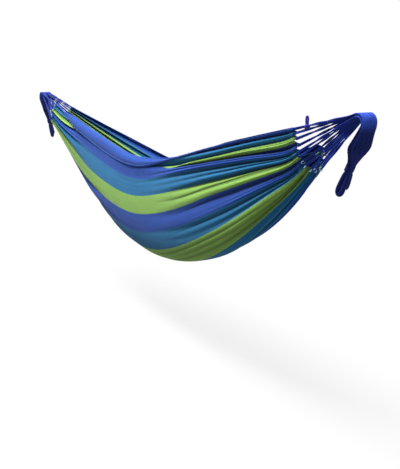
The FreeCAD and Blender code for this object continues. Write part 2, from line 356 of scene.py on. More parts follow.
def frames(line, closed=False):
    """Two unit vectors across the line at each point, carried along without twist."""
    if closed:
        tangents = unit(np.roll(line, -1, 0) - np.roll(line, 1, 0))
    else:
        tangents = unit(np.gradient(line, axis=0))
    start = np.cross(tangents[0], (0.3, 0.5, 0.81))
    sides = [start / np.linalg.norm(start)]
    for tangent in tangents[1:]:
        side = sides[-1] - tangent * np.dot(sides[-1], tangent)
        sides.append(side / np.linalg.norm(side))
    sides = np.array(sides)
    return sides, np.cross(tangents, sides)


LOBES = 3  # strands in a twisted cord


class Tubes:
    """Collects tubes of cord, to be joined as one mesh."""

    def __init__(self):
        self.points, self.faces, self.count = [], [], 0

    def add(self, line, radius, sides=8, lay=0.0, depth=0.10, closed=False):
        """A tube along the line. lay is the length of one turn of the cord's strands."""
        line = np.asarray(line, float)
        across, up = frames(line, closed)
        angle = full_turn(sides)[None, :]
        turn = 2 * math.pi * run_of(line)[:, None] / lay if lay else 0.0
        swell = 1 + (depth * np.cos(LOBES * angle - LOBES * turn) if lay else 0.0)
        reach = np.broadcast_to(np.asarray(radius, float), len(line))[:, None] * swell
        ring = across[:, None] * np.cos(angle)[..., None] + up[:, None] * np.sin(angle)[..., None]
        ring = line[:, None] + ring * reach[..., None]
        first = self.count
        self.points.append(ring.reshape(-1, 3))
        self.count += len(line) * sides
        self.faces += (grid_faces(len(line), sides, closed=True) + first).tolist()
        last = first + (len(line) - 1) * sides
        if closed:
            shift = self._closing_shift(ring, sides)
            for k in range(sides):
                a, b = (k + shift) % sides, (k + 1 + shift) % sides
                self.faces.append([last + k, last + (k + 1) % sides, first + b, first + a])
        else:
            self.faces.append([first + k for k in reversed(range(sides))])
            self.faces.append([last + k for k in range(sides)])

    @staticmethod
    def _closing_shift(ring, sides):
        """How many sides the frame has turned by the time the line closes."""
        gaps = [np.linalg.norm(ring[-1] - np.roll(ring[0], -k, 0)) for k in range(sides)]
        return int(np.argmin(gaps))

    def piece(self, name, material):
        return add_mesh(name, np.vstack(self.points), self.faces, material)


# ---- shape of the cloth

STRIPE = 0.083
CLOTH_WIDTH = len(STRIPES) * STRIPE
COLUMNS_A_STRIPE = 24
CLOTH_ROWS = 213
BED_MIDDLE = 1.42
BED_REACH = 1.116
END_HEM = 0.025
CLOTH_THICKNESS = 0.0014
CLEWS = 16
PLEAT = CLOTH_WIDTH / CLEWS

# Share of the U section from the near rim to the start of stripes 2 to 11, at fractions
# of the bed's reach. The near half hangs nearly flat at mid length and is bunched by the
# near rim to the right.
LEFT_STARTS = [0.055, 0.110, 0.165, 0.225, 0.330, 0.415, 0.470, 0.525, 0.580, 0.630]
STRIPE_STARTS = {
    -1.03: LEFT_STARTS,
    -0.93: LEFT_STARTS,
    -0.79: [0.046, 0.092, 0.142, 0.185, 0.278, 0.408, 0.470, 0.525, 0.580, 0.630],
    -0.59: [0.038, 0.074, 0.108, 0.140, 0.268, 0.405, 0.475, 0.535, 0.590, 0.638],
    -0.45: [0.034, 0.067, 0.098, 0.129, 0.252, 0.356, 0.445, 0.520, 0.580, 0.635],
    -0.30: [0.031, 0.061, 0.090, 0.118, 0.222, 0.313, 0.408, 0.495, 0.565, 0.625],
    -0.16: [0.029, 0.057, 0.084, 0.110, 0.206, 0.291, 0.390, 0.475, 0.550, 0.612],
    -0.03: [0.026, 0.050, 0.074, 0.098, 0.188, 0.273, 0.365, 0.452, 0.535, 0.600],
    0.08: [0.024, 0.046, 0.068, 0.090, 0.173, 0.260, 0.349, 0.440, 0.530, 0.595],
    0.19: [0.022, 0.046, 0.056, 0.080, 0.163, 0.250, 0.332, 0.422, 0.525, 0.592],
    0.37: [0.022, 0.048, 0.053, 0.073, 0.152, 0.235, 0.315, 0.395, 0.508, 0.585],
    0.57: [0.023, 0.052, 0.061, 0.081, 0.146, 0.206, 0.290, 0.362, 0.482, 0.556],
    0.76: [0.019, 0.051, 0.074, 0.104, 0.163, 0.215, 0.284, 0.345, 0.448, 0.522],
    0.87: [0.021, 0.062, 0.098, 0.140, 0.192, 0.245, 0.305, 0.352, 0.440, 0.510],
    0.97: [0.032, 0.086, 0.143, 0.220, 0.276, 0.315, 0.375, 0.412, 0.468, 0.520],
}
# Stripes 12 to 17 and the far rim, as shares of what is left; they close up to the rim.
FAR_STARTS = [0.16, 0.33, 0.50, 0.66, 0.79, 0.89, 1.0]

# The U that the cloth hangs in. Each size is given at the end hems, then at mid length.
HALF_WIDTH = (0.058, 0.152)
RIM_DROP = (0.043, 0.264)
FLOOR_DROP = (0.185, 0.707)
OFFSET = (0.015, 0.057)
ROLL = (15, 12.5)  # degrees, as is the tilt
END_TILT = 30
WIDTH_ROUNDING, RIM_ROUNDING = 0.5, 0.15
RIM_LOW_POINT, FLOOR_LOW_POINT = 0.035, 0.086  # metres to the right of mid length
FULLNESS = (-0.45, 0.26)  # how full the floor's curve is to the left and to the right
U_ANGLES = np.linspace(-math.pi / 2, math.pi / 2, 801)


def rounded_vee(f, rounding):
    return (np.hypot(f, rounding) - rounding) / (np.hypot(1, rounding) - rounding)


def from_low_point(f, shift):
    away = f - shift / BED_REACH
    return away / (1 - np.sign(away) * shift / BED_REACH)


def between(sizes, share):
    return sizes[0] + (sizes[1] - sizes[0]) * share


def station(f):
    """Half width, depth, offset, rim height, roll and tilt of the U at fractions f."""
    near_middle = 1 - rounded_vee(f, WIDTH_ROUNDING)
    rim = -between(RIM_DROP, 1 - rounded_vee(from_low_point(f, RIM_LOW_POINT), RIM_ROUNDING))
    low = from_low_point(f, FLOOR_LOW_POINT)
    fullness = np.where(low < 0, *FULLNESS)
    floor = -between(FLOOR_DROP, 1 - ((1 - fullness) * low ** 2 + fullness * low ** 4))
    half_width, offset = between(HALF_WIDTH, near_middle), between(OFFSET, near_middle)
    roll = -np.radians(between(ROLL, near_middle))
    tilt = -np.radians(END_TILT) * f ** 3
    return half_width, rim - floor, offset, rim, roll, tilt


def on_section(f, down, out):
    """Points at arc distances down from the near rim and out from the U, row by row."""
    half_width, depth, offset, rim, roll, tilt = (v[:, None] for v in station(f))
    angle = np.zeros_like(down)
    for row in range(len(f)):
        y, z = half_width[row] * np.sin(U_ANGLES), -depth[row] * np.cos(U_ANGLES)
        run = run_of(np.stack([y, z], -1))
        angle[row] = np.interp(down[row], run, U_ANGLES)
    normal = np.stack([np.sin(angle) / half_width, -np.cos(angle) / depth], -1)
    normal /= np.linalg.norm(normal, axis=-1, keepdims=True)
    y = half_width * np.sin(angle) + out * normal[..., 0]
    z = -depth * np.cos(angle) + out * normal[..., 1] - np.minimum(down, 0)
    y, z = y * np.cos(roll) - z * np.sin(roll), y * np.sin(roll) + z * np.cos(roll)
    x = BED_MIDDLE + BED_REACH * f[:, None] + z * np.sin(tilt)
    return np.stack([x, offset + y, rim + z * np.cos(tilt)], -1)


def section_length(f):
    half_width, depth = (v[:, None] for v in station(f)[:2])
    y, z = half_width * np.sin(U_ANGLES), -depth * np.cos(U_ANGLES)
    return np.hypot(np.diff(y), np.diff(z)).sum(-1)


def softened(table, reach, axis):
    """The table smoothed along an axis over about reach cells."""
    offsets = np.arange(-3 * reach, 3 * reach + 1)
    kernel = np.exp(-0.5 * (offsets / reach) ** 2)
    kernel /= kernel.sum()
    pad = [(0, 0)] * table.ndim
    pad[axis] = (3 * reach, 3 * reach)
    padded = np.pad(table, pad, mode="reflect", reflect_type="odd")
    run = [np.convolve(line, kernel, "valid") for line in np.moveaxis(padded, axis, -1)]
    return np.moveaxis(np.array(run), -1, axis)


def eased(value, first, last):
    t = np.clip((value - first) / (last - first), 0, 1)
    return t * t * (3 - 2 * t)


LEFT_EDGE = -1 - END_HEM / BED_REACH
RIGHT_EDGE = 0.993


def lengthways():
    """Fractions of the reach at the rows, closer together near the ends, hems included."""
    u = np.linspace(-1, 1, CLOTH_ROWS)
    share = (1 + 1.25 * u - 0.25 * u ** 3) / 2
    return LEFT_EDGE + (RIGHT_EDGE - LEFT_EDGE) * share


def stripe_shares(f, c):
    """Share of the U section at each row and at each distance c across the cloth."""
    keys = sorted(STRIPE_STARTS)
    starts = []
    for key in keys:
        near = [0.0] + STRIPE_STARTS[key]
        far = near[-1] + (1 - near[-1]) * np.array(FAR_STARTS)
        starts.append(np.concatenate([near, far]))
    at_rows = np.array([np.interp(f, keys, column) for column in np.array(starts).T]).T
    at_rows = softened(at_rows, 6, 0)
    edges = np.arange(len(STRIPES) + 1) * STRIPE
    shares = np.array([np.interp(c, edges, row) for row in at_rows])
    return softened(shares, COLUMNS_A_STRIPE // 4, 1)


# The near rim's flap: where the cloth runs, as distance across the cloth, then down from
# the rim and out from the U. It lies over a Z fold that hides stripes 2 and 3.
FLAP = [
    (0.000, 0.066, 0.0037),
    (0.025, 0.043, 0.013),
    (0.060, 0.011, 0.014),
    (0.083, -0.006, 0.004),
    (0.104, 0.006, -0.010),
    (0.150, 0.048, -0.026),
    (0.188, 0.082, -0.026),
    (0.204, 0.082, -0.014),
    (0.240, 0.048, -0.010),
    (0.262, 0.034, -0.004),
    (0.280, 0.044, 0.001),
    (0.306, 0.062, 0.001),
    (0.332, 0.078, 0.000),
]
FLAP_COLUMNS = 0.083  # the rim's own strip; the rest of the route is the Z fold
FOLD_RUN_OUT = 0.075  # the end of the route, where the fold runs out into the plain U


def flap_amount(f):
    """How far the rim's strip is turned down outside the bed."""
    return eased(f, -1.02, -0.66) * (1 - eased(f, -0.40, 0.75))


def fold_amount(f):
    """How far the Z fold behind the strip is closed."""
    return eased(f, -0.91, -0.34) * (1 - eased(f, 0.02, 0.50))


def ribbed(turn, softness):
    """Broad ridges with narrow valleys between them, from about -1.3 to 0.7."""
    return 2 * np.sqrt(np.sin(turn / 2) ** 2 + softness) - 1.3


def pleats(f, c, slack):
    """Outward waves that use up the cloth's spare width; slack is from 0 to 1.

    The sines' own numbers only keep the pleats unlike each other."""
    f, c = f[:, None], c[None, :]
    free = 1 - np.abs(f) ** 3
    turn = 2 * math.pi * c / PLEAT + 0.9 * np.sin(13 * c + 1) + 0.6 * np.sin(29 * c + 2)
    wander = free * (1.2 * np.sin(2.1 * f + 3 * c) + 0.7 * np.sin(4.3 * f - 7 * c))
    uneven = 1 + 0.40 * np.sin(11.3 * c + 2.2 * f) * np.sin(17.9 * c - 1.3 * f + 0.8)
    patchy = np.clip(0.55 + 0.75 * np.sin(23 * c + 1.7) * np.sin(7.7 * c + 0.9 * f), 0.10, 1.3)
    big = ribbed(turn + wander, 0.010) * uneven
    mid = ribbed(2 * turn + 1.6 * wander + 1.1, 0.020) * patchy
    small = np.sin(4.3 * turn + 3.1 * wander) * eased(np.abs(f), 0.45, 0.90)
    return PLEAT * slack * (0.105 * big + 0.085 * mid + 0.014 * small)


# Sharp creases pulled from the right end: place in stripes, where each one fades out
# towards the middle, and how strong it is.
CREASES = [
    (5.45, 0.20, 0.7),
    (6.30, 0.35, 0.8),
    (7.40, 0.25, 0.6),
    (8.30, 0.02, 1.0),
    (8.52, 0.22, 0.8),
    (8.74, 0.08, 1.0),
    (9.55, 0.30, 0.8),
    (10.60, 0.35, 0.7),
]


def creases(f, c):
    """Narrow valleys, from 0 to 1."""
    f, c = f[:, None], c[None, :]
    marks = np.zeros((f.size, c.size))
    for place, fades, strength in CREASES:
        centre = place * STRIPE + 0.006 * np.sin(6 * f + place)
        rise = eased(f, fades - 0.05, fades + 0.25)
        marks += strength * rise * np.exp(-((c - centre) / 0.0042) ** 2)
    return marks


WAVE_INSET = 0.006  # keeps the waves' crests on the U at mid length
CREASE_DEPTH = 0.003
RAISED_HIGHLIGHT, CREASE_SHADE = 45, 0.35  # painted highlight by the metre raised, painted shade in a crease
CALM_COLUMNS = (0.42, 0.34)  # where the waves die down on their way to the closed fold
FAR_DROP = 0.038  # the far side of the right end hangs this much lower than the near side


def slack_shares(flat, c):
    """How much wider the cloth is than the U, square to the stripes, from 0 to 1."""
    step = np.gradient(flat, c, axis=1)
    along = unit(np.gradient(flat, axis=0))
    spread = np.linalg.norm(step - (step * along).sum(-1, keepdims=True) * along, axis=-1)
    slack = np.sqrt(np.clip(1 - spread ** 2, 0, 1))
    slack = softened(softened(slack, COLUMNS_A_STRIPE // 3, 1), 5, 0)
    return np.clip(slack, 0, 1)


def waves(f, c, slack):
    """How far the pleats and creases stand out from the U, and the tone of each point: painted
    highlight where it stands out, painted shade in valleys and creases.
    """
    calm = 1 - eased(c, *CALM_COLUMNS)[None, :] * fold_amount(f)[:, None]
    out = pleats(f, c, slack) * calm - WAVE_INSET * (1 - f ** 2)[:, None]
    marks = creases(f, c)
    out = out - CREASE_DEPTH * marks
    raised = out - softened(out, COLUMNS_A_STRIPE // 2, 1)
    return out, np.clip(EVEN_TONE + RAISED_HIGHLIGHT * raised - CREASE_SHADE * marks, 0, 1)


def lay_flap(f, c, down, out):
    """Moves the columns by the near rim onto the route of the flap and its fold."""
    route = np.array(FLAP)
    near = c <= route[-1, 0]
    flap_down = smooth_through(c[near], route[:, 0], route[:, 1])
    flap_out = smooth_through(c[near], route[:, 0], route[:, 2])
    strip = 1 - eased(c[near], FLAP_COLUMNS - 0.010, FLAP_COLUMNS + 0.010)
    joined = 1 - eased(c[near], route[-1, 0] - FOLD_RUN_OUT, route[-1, 0])
    amount = flap_amount(f)[:, None] * strip + fold_amount(f)[:, None] * (1 - strip)
    amount = amount * joined
    scale = (section_length(f) / section_length(np.zeros(1)))[:, None] ** 0.5
    down[:, near] = (1 - amount) * down[:, near] + amount * flap_down * scale
    out[:, near] = (1 - amount) * out[:, near] + amount * flap_out * scale

    # the flap's hanging edge ripples a little
    edge = np.exp(-((c[near] - 0.02) / 0.05) ** 2)
    out[:, near] += 0.004 * np.sin(9.0 * f + 1.0)[:, None] * edge * amount


def make_cloth():
    """Rows' fractions, columns' distances, and each point's place, UV and tone of painted shade
    and highlight.
    """
    f = lengthways()
    c = np.linspace(0, CLOTH_WIDTH, len(STRIPES) * COLUMNS_A_STRIPE + 1)
    down = stripe_shares(f, c) * section_length(f)[:, None]
    flat = on_section(f, down, np.zeros_like(down))
    out, tone = waves(f, c, slack_shares(flat, c))
    lay_flap(f, c, down, out)
    points = on_section(f, down, out)
    far = eased(c, 0.55 * CLOTH_WIDTH, CLOTH_WIDTH)[None, :] * eased(f, 0.45, 1.0)[:, None]
    points[..., 2] -= FAR_DROP * far

    metres = np.broadcast_to((BED_REACH * f)[:, None], down.shape)
    stripes = np.broadcast_to((c / STRIPE)[None, :], down.shape)
    return f, c, points, np.stack([stripes, metres], -1), tone


def smooth_through(x, xs, ys):
    """Smooth curve through the points (xs, ys), evaluated at x."""
    slopes = np.gradient(ys, xs)
    k = np.clip(np.searchsorted(xs, x, "right") - 1, 0, len(xs) - 2)
    width = xs[k + 1] - xs[k]
    t = (x - xs[k]) / width
    a, b = (1 + 2 * t) * (1 - t) ** 2, t * (1 - t) ** 2
    g, h = t ** 2 * (3 - 2 * t), t ** 2 * (t - 1)
    return a * ys[k] + b * width * slopes[k] + g * ys[k + 1] + h * width * slopes[k + 1]


rows_f, columns_c, cloth, cloth_uv, cloth_shading = make_cloth()
END_SHARE = END_HEM / BED_REACH + 0.004
END_ROWS = {
    "left": np.flatnonzero(rows_f <= LEFT_EDGE + END_SHARE),
    "right": np.flatnonzero(rows_f >= RIGHT_EDGE - END_SHARE),
}
BED_ROWS = slice(END_ROWS["left"][-2], END_ROWS["right"][1] + 1)


def grid_normals(points):
    return unit(np.cross(np.gradient(points, axis=0), np.gradient(points, axis=1)))


def shell(name, points, uv, tone, thickness, material):
    """Closed thin shell round a grid of points."""
    rows, columns = points.shape[:2]
    normal = grid_normals(points) * thickness / 2
    both = np.stack([points + normal, points - normal]).reshape(-1, 3)
    top = grid_faces(rows, columns)
    low = rows * columns
    under = top[:, ::-1] + low
    index = np.arange(low).reshape(rows, columns)
    edge = np.concatenate([index[0, :-1], index[:-1, -1], index[-1, :0:-1], index[:0:-1, 0]])
    after = np.roll(edge, -1)
    rim = np.stack([after, edge, edge + low, after + low], -1)
    faces = np.concatenate([top, under, rim]).tolist()
    uv = np.concatenate([uv.reshape(-1, 2)] * 2)
    return add_mesh(name, both, faces, material, uv, np.concatenate([tone.ravel()] * 2))


def make_bed():
    points, uv, tone = cloth[BED_ROWS], cloth_uv[BED_ROWS], cloth_shading[BED_ROWS]
    bed = shell("bed_cloth", points, uv, tone, CLOTH_THICKNESS, CANVAS)
    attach(bed, "bed")
    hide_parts("bed_fabric")
    return bed


bed_cloth = make_bed()

# ---- hems

CLOTH_NORMALS = grid_normals(cloth)
INWARD = 3  # columns from a rim, for the direction into the cloth
ROLL_REACH, ROLL_RISE = 0.0062, 0.0019  # half sizes of a rolled hem
ROLL_INSET, SEAM_INSET = 0.0035, 0.0085  # from the rim into the cloth
# The rolled hems get a painted highlight, lighter than flat cloth.
HEM_HIGHLIGHT_TONE = 0.95
BAND_HALF = 0.0026
STITCH_PITCH, STITCH_LENGTH, STITCH_RADIUS = 0.0075, 0.0052, 0.0005
STITCH_PLACES = np.array([0.1, 0.3, 0.7, 0.9])  # of a stitch's length
STITCH_LIFTS = np.array([0.0010, 0.0017, 0.0017, 0.0010])[:, None] + 0.0012


def rim_frame(name):
    """The rim's line, the direction into the cloth and the cloth's normal."""
    edge, inner = (0, INWARD) if name == "near" else (-1, -1 - INWARD)
    line = cloth[:, edge]
    into = unit(cloth[:, inner] - line)
    return line, into, CLOTH_NORMALS[:, inner]


def rolled_hem(name):
    """The long edge folded over twice: a flattened roll round the rim."""
    line, into, normal = rim_frame(name)
    count = 14
    angle = full_turn(count)
    puckers = 1 + 0.10 * np.sin(np.arange(len(line)) * 1.9)[:, None]
    inset = ROLL_INSET + ROLL_REACH * np.cos(angle)
    ring = line[:, None] + into[:, None] * inset[None, :, None]
    lift = (ROLL_RISE * np.sin(angle))[None, :] * puckers
    ring = ring + normal[:, None] * lift[..., None]
    uv = np.zeros((len(line), count, 2))
    stripe = 0.5 if name == "near" else len(STRIPES) - 0.5
    uv[..., 0] = stripe + 0.1 * np.cos(angle)
    uv[..., 1] = cloth_uv[:, :1, 1]
    # painted highlight along the rolled hem
    hem_highlight = np.full(len(line) * count, HEM_HIGHLIGHT_TONE)
    ring, uv = ring.reshape(-1, 3), uv.reshape(-1, 2)
    faces = capped_tube(len(line), count)
    hem = add_mesh(name + "_rolled_hem", ring, faces, CANVAS, uv, hem_highlight)
    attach(hem, "bed")
    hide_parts(name + "_side_hem")
    return hem


def stitches(name, line, normal):
    """A row of lock stitches on both faces along a line lying in the cloth."""
    run = run_of(line)
    tubes = Tubes()
    for k in range(int(run[-1] / STITCH_PITCH)):
        at = STITCH_PLACES * STITCH_LENGTH + (k + 0.1) * STITCH_PITCH
        spot = at_run(at, run, line)
        away = unit(at_run(at, run, normal))
        for face in (-1, 1):
            tubes.add(spot + away * STITCH_LIFTS * face, STITCH_RADIUS, sides=5)
    piece = tubes.piece(name, THREAD)
    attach(piece, "bed")
    return piece


def side_hem(name):
    line, into, normal = rim_frame(name)
    hem = rolled_hem(name)
    return [hem, stitches(name + "_hem_stitches", line + into * SEAM_INSET, normal)]


def end_band(name, side):
    """The gathered end of the cloth, folded back and stitched down."""
    rows = END_ROWS[name]
    points, normal, uv = cloth[rows], CLOTH_NORMALS[rows], cloth_uv[rows]
    share = np.linspace(0, 1, len(rows))[::side]
    half = BAND_HALF * np.sqrt(np.clip(1 - (2 * share - 1) ** 8, 0.08, 1))
    lift = normal * half[:, None, None]
    loop = np.concatenate([points + lift, (points - lift)[::-1]]).transpose(1, 0, 2)
    loop_uv = np.concatenate([uv, uv[::-1]]).transpose(1, 0, 2)
    faces = capped_tube(len(loop), loop.shape[1])
    band = add_mesh(name + "_end_band", loop.reshape(-1, 3), faces, CANVAS, loop_uv.reshape(-1, 2))
    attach(band, "bed")
    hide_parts(name + "_end_hem")
    seam = 2 if side > 0 else -3
    return [band, stitches(name + "_end_stitches", points[seam], normal[seam])]


hem_pieces = side_hem("near") + side_hem("far")
for name, side in SIDES.items():
    hem_pieces += end_band(name, side)

# ---- hem loops, clews

LOOP_RADIUS = 0.0055
LOOP_CORD = 0.0016
LOOP_INSET = 0.0018  # how far a loop reaches back into the hem
STRAND = 0.0029
SADDLE_STRAND, TAIL_SWELL = 0.001944, 0.00054  # a strand over the support, then its growth
STRAND_LAY = 0.021
PALE_LOOPS = {"left": [], "right": [6, 7, 8, 9, 10]}


def hem_eyelet(side, index):
    """The middle of a hem loop, its way out and its way along the hem."""
    column = round((index + 0.5) * (len(columns_c) - 1) / CLEWS)
    row, back = (-1, -4) if side > 0 else (0, 3)
    point = cloth[row, column]
    outward = unit(point - cloth[back, column])
    reach = 2 * COLUMNS_A_STRIPE // 3
    low, high = max(column - reach, 0), min(column + reach, len(columns_c) - 1)
    edge = cloth[row, high] - cloth[row, low]
    edge = unit(edge - outward * np.dot(edge, outward))
    return point + outward * (LOOP_RADIUS - LOOP_INSET), outward, edge


def hem_loops(name, side):
    """Small rings of cord through the hem; the lowest ones of the right end are pale."""
    pale, dark = Tubes(), Tubes()
    for index in range(CLEWS):
        centre, outward, edge = hem_eyelet(side, index)
        normal = np.cross(outward, edge)
        angle = full_turn(28)[:, None]
        ring = centre + LOOP_RADIUS * (outward * np.cos(angle) + normal * np.sin(angle))
        tubes = pale if index in PALE_LOOPS[name] else dark
        tubes.add(ring, LOOP_CORD, lay=0.0086, depth=0.12, closed=True)
    pieces = [dark.piece(name + "_blue_loops", CORD)]
    if PALE_LOOPS[name]:
        pieces.append(pale.piece(name + "_pale_loops", PALE_CORD))
    for piece in pieces:
        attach(piece, "bed")
        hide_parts(name + "_hem_loops")


def support_x(side):
    return SPAN * (1 + side) / 2


APPROACH = math.radians(25)  # the clews come in this far below level
LEAN = math.radians(28)  # the tail hangs this far off plumb, toward the bed
BUNDLE_RADIUS = SUPPORT_RADIUS + 0.007
CLEW_PITCH = 0.0074
ROW_REACH = 0.0045  # from the band's middle to each of its two outer rows
BAND_REACH = 3.75 * CLEW_PITCH
INNER_STRANDS = 15
WRAP = math.pi / 2 + APPROACH + LEAN
TAIL = {
    "left": {"belly": (0.034, 0.046), "neck": (0.020, 0.026)},
    "right": {"belly": (0.084, 0.024), "neck": (0.031, 0.024)},
}
# Distances down the tail, and where it bends: below the support, then below the whipping.
TAIL_BELLY, TAIL_NECK, WHIPPING_END = 0.088, 0.140, 0.162
STRAND_INSETS = (0.0022, 0.0016)  # of the outer strands' middles, at the belly and the neck
TAIL_BEND = (-0.004, 0.030)
HIGHLIGHT_FULL_HEIGHT, HIGHLIGHT_GONE_HEIGHT = 0.012, -0.034  # heights where the painted highlight on the bend's top is full, then gone
RIDGE_PITCH, RIDGE_HEIGHT = 0.0135, 0.0017  # the band's own folds over the support


def tail_point(side, radial, across, along):
    """A point of the tail: out from the support, along Y and down the tail."""
    out = np.array([side * math.cos(LEAN), 0, -math.sin(LEAN)])
    down = np.array([-side * math.sin(LEAN), 0, -math.cos(LEAN)])
    top = np.array([support_x(side), 0, 0]) + out * BUNDLE_RADIUS
    radial, across, along = (np.asarray(v, float)[..., None] for v in (radial, across, along))
    return top + out * radial + np.array([0, 1, 0]) * across + down * along


def saddle_point(side, radial, across, share):
    """A point of the bend over the support, share from 0 (bed side) to 1 (tail side)."""
    angle = math.pi / 2 + APPROACH - WRAP * np.asarray(share, float)
    reach = BUNDLE_RADIUS + radial
    x = support_x(side) + side * reach * np.cos(angle)
    across = np.broadcast_to(across, x.shape)
    return np.stack([x, across, reach * np.sin(angle)], -1)


def outer_strands():
    """The clews' own strands as (across, through) in the flat band, in metres."""
    places = []
    for index in range(CLEWS):
        half, quarter = CLEWS // 2, CLEWS // 4
        step = index if index < half else CLEWS - 1 - index
        column = step % quarter - quarter + 0.5
        across = column * CLEW_PITCH * (1 if index < half else -1)
        through = ROW_REACH if step < quarter else -ROW_REACH
        places += [(across - CLEW_PITCH / 4, through), (across + CLEW_PITCH / 4, through)]
    return places


def inner_strands():
    """Strands between the two rows, which start inside the bundle."""
    first = 0.5 - INNER_STRANDS / 2
    return [((k + first) * CLEW_PITCH / 2, 0.0) for k in range(INNER_STRANDS)]


def tail_section(name, along):
    """Half width and half depth to the strands' middles, and how round the section is."""
    belly, neck = TAIL[name]["belly"], TAIL[name]["neck"]
    first = eased(along, -0.02, TAIL_BELLY + 0.008)
    second = eased(along, TAIL_BELLY - 0.024, TAIL_NECK + 0.004)
    half = []
    for k, flat in enumerate((BAND_REACH, ROW_REACH)):
        swollen = flat + (belly[k] / 2 - STRAND_INSETS[0] - flat) * first
        half.append(swollen + (neck[k] / 2 - STRAND_INSETS[1] - swollen) * second)
    return half[0], half[1], second


def tail_line(name, side, across, through, number, along):
    """The run of one strand down the tail."""
    width, depth, roundness = tail_section(name, along)
    u = np.clip(across / BAND_REACH, -1, 1)
    v = through / ROW_REACH
    disc_u, disc_v = u * math.sqrt(1 - v * v / 2), v * math.sqrt(1 - u * u / 2)
    swell = eased(along, 0.0, 0.05)
    u = u + (disc_u - u) * roundness
    v = v + (disc_v - v) * np.maximum(roundness, 0.75 * swell)
    stagger = 0.4 * np.sign(through) / INNER_STRANDS
    u = u + stagger * swell * (1 - roundness)
    wobble = 0.0012 * np.sin(37 * along + 2.4 * number) * swell * (1 - roundness)
    return tail_point(side, depth * v, width * u + wobble, along)


def add_painted_highlight(piece):
    """The bend's top gets a painted highlight, which fades down into the tail's painted shade."""
    heights = np.array([vertex.co.z for vertex in piece.data.vertices])
    layer = piece.data.attributes.new("painted_highlight", "FLOAT", "POINT")
    layer.data.foreach_set("value", eased(heights, HIGHLIGHT_GONE_HEIGHT, HIGHLIGHT_FULL_HEIGHT).astype(np.float32))


def bundle(name, side):
    """The band of strands bent over the support, and the tail below it."""
    saddle, tail = Tubes(), Tubes()
    share = np.linspace(0, 1, 34)
    along = np.linspace(TAIL_BEND[0], WHIPPING_END + 0.002, 60)
    for number, (across, through) in enumerate(outer_strands() + inner_strands()):
        start = 0.06 if through == 0 else 0.0
        middle = np.sin(math.pi * share)
        place = across + 0.0035 + 0.012 * share
        ridge = np.abs(np.sin(math.pi * place / RIDGE_PITCH)) - 0.6
        lift = (0.0006 * math.sin(3.1 * number) + RIDGE_HEIGHT * ridge) * middle
        drift = 0.0008 * middle * math.sin(5.7 * number + 1)
        run = start + (1 - start) * share
        line = saddle_point(side, through + lift, across + drift, run)
        saddle.add(line, SADDLE_STRAND, lay=STRAND_LAY)
        line = tail_line(name, side, across, through, number, along)
        thick = SADDLE_STRAND + TAIL_SWELL * eased(along, 0.0, 0.06)
        tail.add(line, thick, lay=STRAND_LAY)
    piece = saddle.piece(name + "_bundle", BUNDLE)
    add_painted_highlight(piece)
    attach(piece, "supports")
    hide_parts(name + "_saddle")
    piece = tail.piece(name + "_tail_cords", BUNDLE)
    add_painted_highlight(piece)
    start, end = (tail_point(side, 0, 0, along) for along in TAIL_BEND)
    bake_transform(piece)
    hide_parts(name + "_tail")


CLEW_BEND = 0.0022  # from a clew's axis to each half, at the hem loop
CLEW_LAY = 0.19
KNEE_REACH = 0.016  # how far before the saddle a clew starts to bend


def clew_axis(side, index, root):
    """The middle line of a clew from its hem loop, straight and then bent into the saddle."""
    ends = outer_strands()[2 * index: 2 * index + 2]
    tops = [saddle_point(side, through, across, 0.02) for across, through in ends]
    middle = (tops[0] + tops[1]) / 2
    ahead = saddle_point(side, ends[0][1], (ends[0][0] + ends[1][0]) / 2, 0.0) - middle
    knee = middle + unit(ahead) * KNEE_REACH
    straight = root + np.linspace(0, 1, 90)[:, None] * (knee - root)
    curve = np.linspace(0, 1, 12)[1:, None]
    before = straight[-12]
    bow = (1 - curve) ** 2 * before + 2 * curve * (1 - curve) * knee + curve ** 2 * middle
    return resampled(np.vstack([straight[:-11], bow]), 96)


def clew_line(side, index):
    """The run of a doubled cord down to its hem loop and back, its radius, and its axis."""
    centre, outward, edge = hem_eyelet(side, index)
    foot = centre + outward * (LOOP_RADIUS - LOOP_CORD - STRAND)
    root = foot + outward * CLEW_BEND
    axis = clew_axis(side, index, root)
    direction = unit(np.gradient(axis, axis=0))
    level = unit(np.array([0, 1, 0]) - direction * direction[:, 1:2])
    upright = np.cross(direction, level)

    # the two halves turn round each other a whole number of times
    first = math.atan2(np.dot(edge, upright[0]), np.dot(edge, level[0]))
    turns = max(round(run_of(axis)[-1] / CLEW_LAY), 1)
    t = np.linspace(0, 1, len(axis))[:, None]
    phase = first + (2 * math.pi * turns - first) * eased(t, 0.02, 0.96)
    reach = CLEW_BEND + (CLEW_PITCH / 4 - CLEW_BEND) * eased(t, 0.0, 0.15)
    offset = (level * np.cos(phase) + upright * np.sin(phase)) * reach
    around = np.linspace(-math.pi / 2, math.pi / 2, 9)[1:-1, None]
    turned = root - CLEW_BEND * outward * np.cos(around) + CLEW_BEND * edge * np.sin(around)
    line = np.vstack([(axis - offset)[::-1], turned, axis + offset])
    slim = STRAND + (SADDLE_STRAND - STRAND) * eased(t[:, 0], 0.45, 1.0)
    radius = np.concatenate([slim[::-1], np.full(len(turned), STRAND * 0.9), slim])
    return line, radius, axis


def clew_cord(name, side, index):
    """One cord from the bundle to its hem loop and back, its two halves laid together."""
    line, radius, axis = clew_line(side, index)
    tubes = Tubes()
    tubes.add(line, radius, lay=STRAND_LAY)
    cord = tubes.piece("%s_clew_cord_%02d" % (name, index + 1), CORD)
    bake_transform(cord)
    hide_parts("%s_clew_%02d" % (name, index + 1))


for name, side in SIDES.items():
    hem_loops(name, side)
    bundle(name, side)
    for index in range(CLEWS):
        clew_cord(name, side, index)

# ---- whippings, eyes and free ends

TWINE = 0.0013
EYE_CORD, EYE_CORD_START = 0.0083, 0.0058  # round the eye, and where it leaves the whipping
SERVING_PITCH = 0.0024


